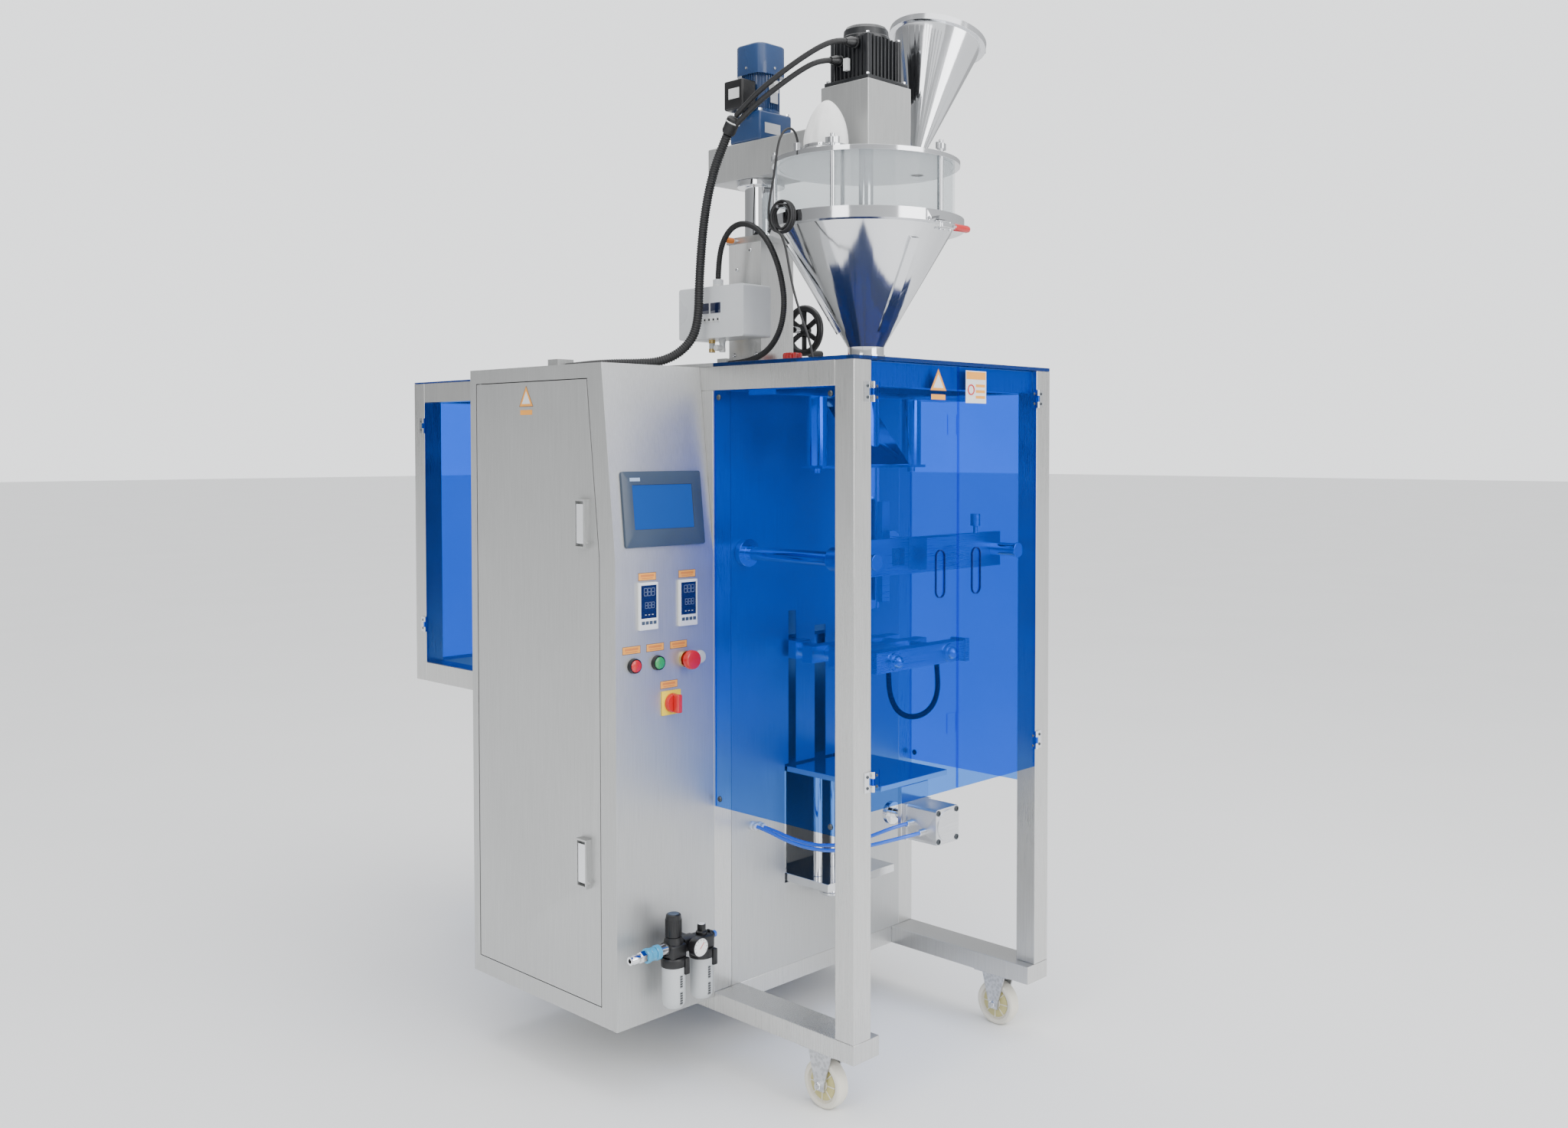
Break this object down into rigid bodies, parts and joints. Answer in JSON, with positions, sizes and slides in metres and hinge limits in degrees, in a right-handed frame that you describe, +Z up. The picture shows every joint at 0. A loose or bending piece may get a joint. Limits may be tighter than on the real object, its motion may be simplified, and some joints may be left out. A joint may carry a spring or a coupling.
{
  "type": "vertical form fill sealer",
  "caption": "Castored bag forming, filling and sealing machine: stainless frame, side control cabinet, tinted guard doors and an auger filler on a lifting column.",
  "frame": {"origin": "on the floor, under the middle of the machine's bounding box", "axes": "+X to the machine's right as seen from the front, +Y towards the film reel bay behind, +Z up; the front faces -Y"},
  "size_m": [0.923, 1.6183, 2.2953],
  "materials": {
    "brushed_stainless": "brushed",
    "polished_stainless": "polished",
    "sheet_stainless": "satin",
    "blue_acrylic": "clear tinted",
    "dark_acrylic": "clear tinted",
    "clear_acrylic": "clear",
    "aluminium": "machined",
    "chrome": "polished",
    "zinc": "zinc plated",
    "ivory_nylon": "matt",
    "slate_plastic": "matt",
    "black_plastic": "matt",
    "light_grey_plastic": "matt",
    "red_plastic": "gloss",
    "green_plastic": "gloss",
    "orange_plastic": "gloss",
    "blue_paint": "gloss",
    "black_paint": "satin",
    "grey_paint": "satin",
    "white_cloth": "woven",
    "blue_hose": "gloss",
    "black_rubber": "matt"
  },
  "bodies": {
    "machine_base": {"main_frame": "brushed_stainless", "body_panels": "sheet_stainless", "cabinet_shell": "sheet_stainless", "control_gear": "light_grey_plastic", "panel_instruments": "slate_plastic", "air_unit": "light_grey_plastic", "guard_panels": "blue_acrylic", "top_covers": "dark_acrylic", "hinge_leaves": "polished_stainless", "former": "polished_stainless", "slide_frame": "chrome", "clamp_cylinder": "aluminium", "lift_column": "brushed_stainless", "control_box": "grey_paint", "caster_forks": "zinc", "conduit": "black_rubber", "box_hose": "black_rubber", "air_hoses": "blue_hose"},
    "filler": {"lift_tube": "chrome", "feeder_arm": "brushed_stainless", "gear_motor": "blue_paint", "servo_motor": "black_paint", "auger_housing": "brushed_stainless", "hopper_lid": "polished_stainless", "hopper_cylinder": "clear_acrylic", "hopper_cone": "polished_stainless", "filter_sock": "white_cloth", "feed_funnel": "polished_stainless", "sensor_coil": "black_rubber", "sensor_cable": "black_rubber", "motor_cables": "black_rubber"},
    "jaw_carriage": {"jaw_carriage": "aluminium", "jaw_cables": "black_rubber"},
    "cabinet_door": {"cabinet_door": "sheet_stainless"},
    "upper_handle": {"upper_handle": "chrome"},
    "lower_handle": {"lower_handle": "chrome"},
    "stop_button": {"stop_button": "red_plastic"},
    "start_button": {"start_button": "green_plastic"},
    "emergency_stop": {"emergency_stop": "red_plastic"},
    "switch_knob": {"switch_knob": "red_plastic"},
    "regulator_knob": {"regulator_knob": "black_plastic"},
    "left_door": {"left_door": "blue_acrylic"},
    "right_door": {"right_door": "blue_acrylic"},
    "reel_door": {"reel_door": "blue_acrylic"},
    "vertical_sealer": {"vertical_sealer": "aluminium"},
    "front_jaw": {"front_jaw": "aluminium"},
    "rear_jaw": {"rear_jaw": "aluminium"},
    "stroke_handwheel": {"stroke_handwheel": "chrome"},
    "clamp_rod": {"clamp_rod": "chrome"},
    "lock_pin": {"lock_pin": "orange_plastic"},
    "clamp_knob": {"clamp_knob": "red_plastic"},
    "lift_handwheel": {"lift_handwheel": "black_plastic"},
    "toggle_clamp": {"toggle_clamp": "red_plastic"},
    "auger": {"auger": "polished_stainless"},
    "agitator": {"agitator": "polished_stainless"},
    "reel_shaft": {"reel_shaft": "chrome"},
    "front_left_wheel": {"front_left_wheel": "ivory_nylon"},
    "front_right_wheel": {"front_right_wheel": "ivory_nylon"},
    "rear_left_wheel": {"rear_left_wheel": "ivory_nylon"},
    "rear_right_wheel": {"rear_right_wheel": "ivory_nylon"}
  },
  "joints": [
    {"name": "cabinet_door_hinge", "type": "hinge", "parent": "machine_base", "child": "cabinet_door", "pos_m": [-0.4485, 0.0845, 0.8], "axis": [0, 0, 1], "range_deg": [-110, 0]},
    {"name": "lower_handle_pivot", "type": "hinge", "parent": "cabinet_door", "child": "lower_handle", "pos_m": [-0.4625, -0.3, 0.444], "axis": [0, -1, 0], "range_deg": [0, 40]},
    {"name": "upper_handle_pivot", "type": "hinge", "parent": "cabinet_door", "child": "upper_handle", "pos_m": [-0.4625, -0.3, 1.138], "axis": [0, -1, 0], "range_deg": [0, 40]},
    {"name": "stop_button_press", "type": "slide", "parent": "machine_base", "child": "stop_button", "axis": [0, 1, 0], "range_m": [0, 0.004], "stiffness_N_per_m": 400, "springref_m": -0.001},
    {"name": "start_button_press", "type": "slide", "parent": "machine_base", "child": "start_button", "axis": [0, 1, 0], "range_m": [0, 0.004], "stiffness_N_per_m": 400, "springref_m": -0.001},
    {"name": "emergency_stop_press", "type": "slide", "parent": "machine_base", "child": "emergency_stop", "axis": [0, 1, 0], "range_m": [0, 0.006]},
    {"name": "switch_turn", "type": "hinge", "parent": "machine_base", "child": "switch_knob", "pos_m": [-0.314, -0.4, 0.805], "axis": [0, 1, 0], "range_deg": [0, 90]},
    {"name": "regulator_turn", "type": "hinge", "parent": "machine_base", "child": "regulator_knob", "pos_m": [-0.35, -0.45, 0.356], "axis": [0, 0, 1], "range_deg": [-360, 360]},
    {"name": "left_door_hinge", "type": "hinge", "parent": "machine_base", "child": "left_door", "pos_m": [-0.144, -0.8093, 1], "axis": [0, 0, 1], "range_deg": [-110, 0]},
    {"name": "right_door_hinge", "type": "hinge", "parent": "machine_base", "child": "right_door", "pos_m": [0.404, -0.8093, 1], "axis": [0, 0, 1], "range_deg": [0, 110]},
    {"name": "reel_door_hinge", "type": "hinge", "parent": "machine_base", "child": "reel_door", "pos_m": [-0.1993, 0.754, 1], "axis": [0, 0, 1], "range_deg": [-110, 0]},
    {"name": "vertical_sealer_slide", "type": "slide", "parent": "machine_base", "child": "vertical_sealer", "axis": [0, 1, 0], "range_m": [0, 0.012]},
    {"name": "jaw_carriage_slide", "type": "slide", "parent": "machine_base", "child": "jaw_carriage", "axis": [0, 0, 1], "range_m": [-0.13, 0.05]},
    {"name": "front_jaw_slide", "type": "slide", "parent": "jaw_carriage", "child": "front_jaw", "axis": [0, 1, 0], "range_m": [0, 0.0205]},
    {"name": "rear_jaw_slide", "type": "slide", "parent": "jaw_carriage", "child": "rear_jaw", "axis": [0, 1, 0], "range_m": [-0.0205, 0]},
    {"name": "stroke_wheel_turn", "type": "hinge", "parent": "machine_base", "child": "stroke_handwheel", "pos_m": [0.13, -0.438, 0.318], "axis": [0, 0, 1], "range_deg": [-720, 720]},
    {"name": "clamp_rod_slide", "type": "slide", "parent": "machine_base", "child": "clamp_rod", "axis": [0, 1, 0], "range_m": [0, 0.04]},
    {"name": "lock_pin_pull", "type": "slide", "parent": "machine_base", "child": "lock_pin", "axis": [-1, 0, 0], "range_m": [0, 0.006], "stiffness_N_per_m": 500, "springref_m": -0.002},
    {"name": "clamp_knob_turn", "type": "hinge", "parent": "machine_base", "child": "clamp_knob", "pos_m": [0.136, -0.305, 1.543], "axis": [0, 0, 1], "range_deg": [-360, 360]},
    {"name": "filler_lift", "type": "slide", "parent": "machine_base", "child": "filler", "axis": [0, 0, 1], "range_m": [0, 0.06]},
    {"name": "lift_wheel_turn", "type": "hinge", "parent": "machine_base", "child": "lift_handwheel", "pos_m": [0.275, -0.206, 1.616], "axis": [1, 0, 0], "range_deg": [-10, 2180]},
    {"name": "toggle_swing", "type": "hinge", "parent": "filler", "child": "toggle_clamp", "pos_m": [0.11, -0.767, 1.795], "axis": [0, 0, -1], "range_deg": [0, 90]},
    {"name": "auger_spin", "type": "hinge", "parent": "filler", "child": "auger", "pos_m": [0.13, -0.541, 1.8], "axis": [0, 0, 1], "continuous": true},
    {"name": "agitator_spin", "type": "hinge", "parent": "filler", "child": "agitator", "pos_m": [0.13, -0.541, 1.8], "axis": [0, 0, 1], "continuous": true},
    {"name": "reel_spin", "type": "hinge", "parent": "machine_base", "child": "reel_shaft", "pos_m": [0.13, 0.377, 0.846], "axis": [1, 0, 0], "continuous": true},
    {"name": "front_left_wheel_roll", "type": "hinge", "parent": "machine_base", "child": "front_left_wheel", "pos_m": [-0.1575, -0.695, 0.05], "axis": [1, 0, 0], "continuous": true},
    {"name": "front_right_wheel_roll", "type": "hinge", "parent": "machine_base", "child": "front_right_wheel", "pos_m": [0.4175, -0.695, 0.05], "axis": [1, 0, 0], "continuous": true},
    {"name": "rear_left_wheel_roll", "type": "hinge", "parent": "machine_base", "child": "rear_left_wheel", "pos_m": [-0.1575, 0.007, 0.05], "axis": [1, 0, 0], "continuous": true},
    {"name": "rear_right_wheel_roll", "type": "hinge", "parent": "machine_base", "child": "rear_right_wheel", "pos_m": [0.4175, 0.007, 0.05], "axis": [1, 0, 0], "continuous": true}
  ],
  "couplings": [
    {"joint": "rear_jaw_slide", "follows": "front_jaw_slide", "ratio": -1},
    {"joint": "lift_wheel_turn", "follows": "filler_lift", "rad_per_m": 628.32}
  ]
}
